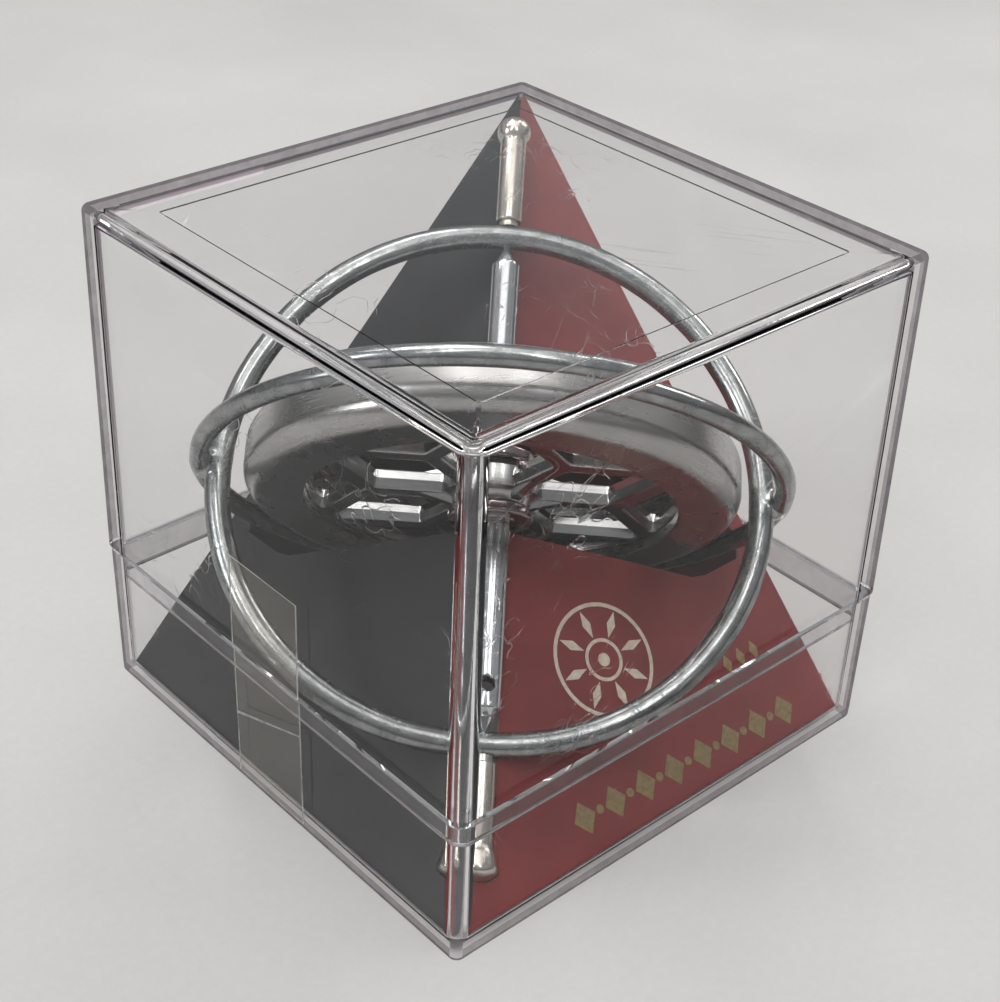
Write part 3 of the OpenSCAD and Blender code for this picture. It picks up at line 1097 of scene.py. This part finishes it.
def make_rim():
    edge = 0.35
    profile = arc(RIM_IN_R + edge, RIM_LOW + edge, edge, 180, 270, 5)
    profile += arc(WHEEL_R - RIM_ROUND, RIM_LOW + RIM_ROUND, RIM_ROUND, -90, 0, 14)
    profile += arc(WHEEL_R - RIM_ROUND, RIM_HIGH - RIM_ROUND, RIM_ROUND, 0, 90, 14)
    profile += arc(RIM_IN_R + edge, RIM_HIGH - edge, edge, 90, 180, 5)
    obj = add_mesh("wheel_rim", *lathe(profile, 256, closed=True), GYRO)
    roughen(obj, 0.02, 6.0, 3)
    finish_piece(smooth(obj, 40, weighted=True), "rotor", "wheel_metal", [RIM_METAL], ["flywheel"])


def hub_side(face_z, out):
    """Half of the hub's profile, from the bore outward, on the side that out (1 or -1) points to."""
    top = face_z + 1.3 * out
    points = [(AXLE_R + 0.03, top)]
    points += [(3.2, top), (3.42, top - 0.08 * out), (3.55, top - 0.25 * out)]
    points += [(3.8, face_z + 0.55 * out), (4.25, face_z + 0.2 * out), (4.9, face_z + 0.02 * out)]
    return points


def make_hub():
    profile = hub_side(WEB_LOW, -1) + hub_side(WEB_HIGH, 1)[::-1]
    points, faces = lathe(profile, 96, closed=True)
    start_r, end_r, height = 3.0, 7.2, 1.25
    gusset = [(start_r, height), (3.4, 1.05), (end_r, 0.0), (start_r, 0.0)]
    width_in, width_out, taper = 1.05, 0.5, 0.55
    for k in range(6):
        turn = Matrix.Rotation(radians(60 * k), 3, "Z")
        for face_z, out in ((WEB_LOW + 0.02, -1), (WEB_HIGH - 0.02, 1)):
            first = len(points)
            for side in (-1, 1):
                for r, h in gusset:
                    half = width_out + (width_in - width_out) * (end_r - r) / (end_r - start_r)
                    spread = half * (1.0 - taper * h / height)
                    points.append(tuple(turn @ Vector((r, side * spread, face_z + out * h))))
            faces += [list(range(first, first + 4)), list(range(first + 4, first + 8))]
            faces += band(first, first + 4, 4)
    obj = add_mesh("wheel_hub", points, faces, GYRO)
    finish_piece(smooth(obj, 35), "rotor", "wheel_metal", [WEB_METAL], ["flywheel"])


def make_axle():
    hole_z = (INTO_GYRO @ Vector(HOLE["pos_m"])).z / MM
    hole_r = HOLE["dims"]["r_mm"]
    tip = gyro_box("axle")[1].z
    cone = tip - 2.75
    profile = [(0, -tip), (0.12, -tip), (1.02, -tip + 1.7), (1.1, -tip + 1.85), (1.0, -cone - 0.72)]
    profile += [(1.02, -cone - 0.66), (AXLE_R - 0.12, -cone - 0.08), (AXLE_R - 0.03, -cone + 0.05)]
    for k in range(41):
        profile.append((AXLE_R, -cone + 0.2 + (2 * cone - 0.4) * k / 40))
    profile += [(AXLE_R - 0.02, cone), (AXLE_R - 0.15, cone + 0.18), (0.12, tip), (0, tip)]
    obj = add_mesh("axle_pin", *lathe(profile, 72), GYRO)
    flare = 0.12
    reach = AXLE_R + 1
    sink = AXLE_R - 0.16
    spool = [(0, -reach), (hole_r + flare, -reach), (hole_r + flare, -sink - 0.1), (hole_r, -sink + 0.06),
             (hole_r, sink - 0.06), (hole_r + flare, sink + 0.1), (hole_r + flare, reach), (0, reach)]
    points, faces = lathe(spool, 48)
    points = [(x, y, z + hole_z) for x, y, z in turned(points, UPRIGHT)]
    cut(obj, cutter(points, faces))
    finish_piece(smooth(obj, 32, weighted=True), "rotor", "axle_steel", [AXLE, BORE_SHADE], ["axle"])
    # The faces inside the string hole take the painted shade
    for polygon in obj.data.polygons:
        spot = INTO_GYRO @ polygon.center / MM
        polygon.material_index = 1 if hypot(spot.x, spot.z - hole_z) < hole_r + 0.02 else 0


def make_collars():
    for cad_node, name in (("hub_collar_lower", "collar_lower"), ("hub_collar_upper", "collar_upper")):
        low, high = gyro_box(cad_node)
        r, edge = high.x, 0.4
        profile = [(AXLE_R + 0.02, low.z), (AXLE_R + 0.5, low.z)]
        profile += [(AXLE_R + 0.6, low.z + 0.12), (AXLE_R + 0.85, low.z + 0.12), (AXLE_R + 0.95, low.z)]
        profile += arc(r - edge, low.z + edge, edge, -90, 0, 6)
        profile += arc(r - edge, high.z - edge, edge, 0, 90, 6)
        profile += [(AXLE_R + 0.02, high.z)]
        obj = add_mesh(name, *lathe(profile, 72, closed=True), GYRO)
        finish_piece(smooth(obj, 40), "rotor", "collar_metal", [COLLAR_RED_REFLECTION], [cad_node])


make_web()
make_rim()
make_hub()
make_axle()
make_collars()


# ---------------- stage, light, camera

SKY_BELOW = (0.05, 0.05, 0.05)
SKY_ABOVE = (0.78, 0.80, 0.82)
SKY_OVERHEAD = (4.5, 4.5, 4.4)
SKY_SEEN = (0.74, 0.735, 0.72)     # what the camera sees of it, past the floor
SKY_STRENGTH = 0.40


def make_stage():
    half = 12000
    points = [(-half, -half, 0), (half, -half, 0), (half, half, 0), (-half, half, 0)]
    floor = add_mesh("floor", points, [[0, 1, 2, 3]])
    floor.location.z = -0.02 * MM
    floor.data.materials.append(floor_surface())
    floor.visible_glossy = False
    world = bpy.data.worlds.new("studio")
    world.use_nodes = True
    tree = world.node_tree
    direction = node(tree, "TexCoord")
    split = node(tree, "SeparateXYZ")
    height = node(tree, "ValToRGB")
    ramp = height.color_ramp
    ramp.elements[0].position = 0.0
    ramp.elements[0].color = (*SKY_BELOW, 1)
    ramp.elements[1].position = 0.35
    ramp.elements[1].color = (*SKY_ABOVE, 1)
    ramp.elements.new(0.86).color = (*SKY_ABOVE, 1)
    ramp.elements.new(0.95).color = (*SKY_OVERHEAD, 1)
    link(direction.outputs["Generated"], split.inputs["Vector"])
    link(split.outputs["Z"], height.inputs["Fac"])
    seen = node(tree, "LightPath")
    backdrop = node(tree, "Mix", data_type="RGBA")
    colours = [s for s in backdrop.inputs if s.type == "RGBA"]
    colours[1].default_value = (*SKY_SEEN, 1)
    mixed = [s for s in backdrop.outputs if s.type == "RGBA"][0]
    link(seen.outputs["Is Camera Ray"], backdrop.inputs[0])
    link(height.outputs["Color"], colours[0])
    link(mixed, tree.nodes["Background"].inputs["Color"])
    tree.nodes["Background"].inputs["Strength"].default_value = SKY_STRENGTH
    scene.world = world


WARM_WHITE = (1.0, 0.99, 0.97)
AIM = (0, 0, 30)      # the point that every light faces
# name, place, width, height, watts, colour
LIGHTS = [(f"window_{number}", (x, 240, 540), 70, 260, 0.45, WARM_WHITE)
          for number, x in enumerate((-150, -20, 110))]
LIGHTS += [("front_left", (-300, -70, 520), 60, 260, 0.35, WARM_WHITE),
           ("front_right", (-70, -300, 520), 60, 260, 0.35, WARM_WHITE),
           ("right_high", (342, 60, 486), 90, 200, 0.30, WARM_WHITE),
           ("side_left", (-520, 160, 330), 160, 220, 0.8, (0.96, 0.98, 1.0)),
           ("side_right", (520, -20, 330), 160, 220, 0.8, (1.0, 0.98, 0.95))]


def area_light(name, place, width, height, watts, colour):
    data = bpy.data.lights.new(name, "AREA")
    data.shape = "RECTANGLE"
    data.size = width * MM
    data.size_y = height * MM
    data.energy = watts
    data.color = colour
    light = bpy.data.objects.new(name, data)
    scene.collection.objects.link(light)
    light.location = Vector(place) * MM
    direction = (Vector(AIM) - Vector(place)).normalized()
    light.rotation_euler = direction.to_track_quat("-Z", "Y").to_euler()


CAMERA_PLACE = (-115.9, -125.5, 136.6)
CAMERA_AZIMUTH = 43.035     # from +Y towards +X
CAMERA_DROP = 32.67         # below the horizon
CAMERA_ROLL = 2.482
CAMERA_LENS = 65.776


def make_camera():
    data = bpy.data.cameras.new("camera")
    data.lens = CAMERA_LENS
    data.sensor_width = 36.0
    data.clip_start = 0.01
    camera = bpy.data.objects.new("camera", data)
    scene.collection.objects.link(camera)
    az, drop, roll = (radians(a) for a in (CAMERA_AZIMUTH, CAMERA_DROP, CAMERA_ROLL))
    forward = Vector((sin(az) * cos(drop), cos(az) * cos(drop), -sin(drop)))
    level = forward.cross(Vector((0, 0, 1))).normalized()
    lift = level.cross(forward)
    right = cos(roll) * level + sin(roll) * lift
    up = -sin(roll) * level + cos(roll) * lift
    turn = Matrix((right, up, -forward)).transposed().to_4x4()
    camera.matrix_world = Matrix.Translation(Vector(CAMERA_PLACE) * MM) @ turn
    scene.camera = camera


make_stage()
for light in LIGHTS:
    area_light(*light)
make_camera()
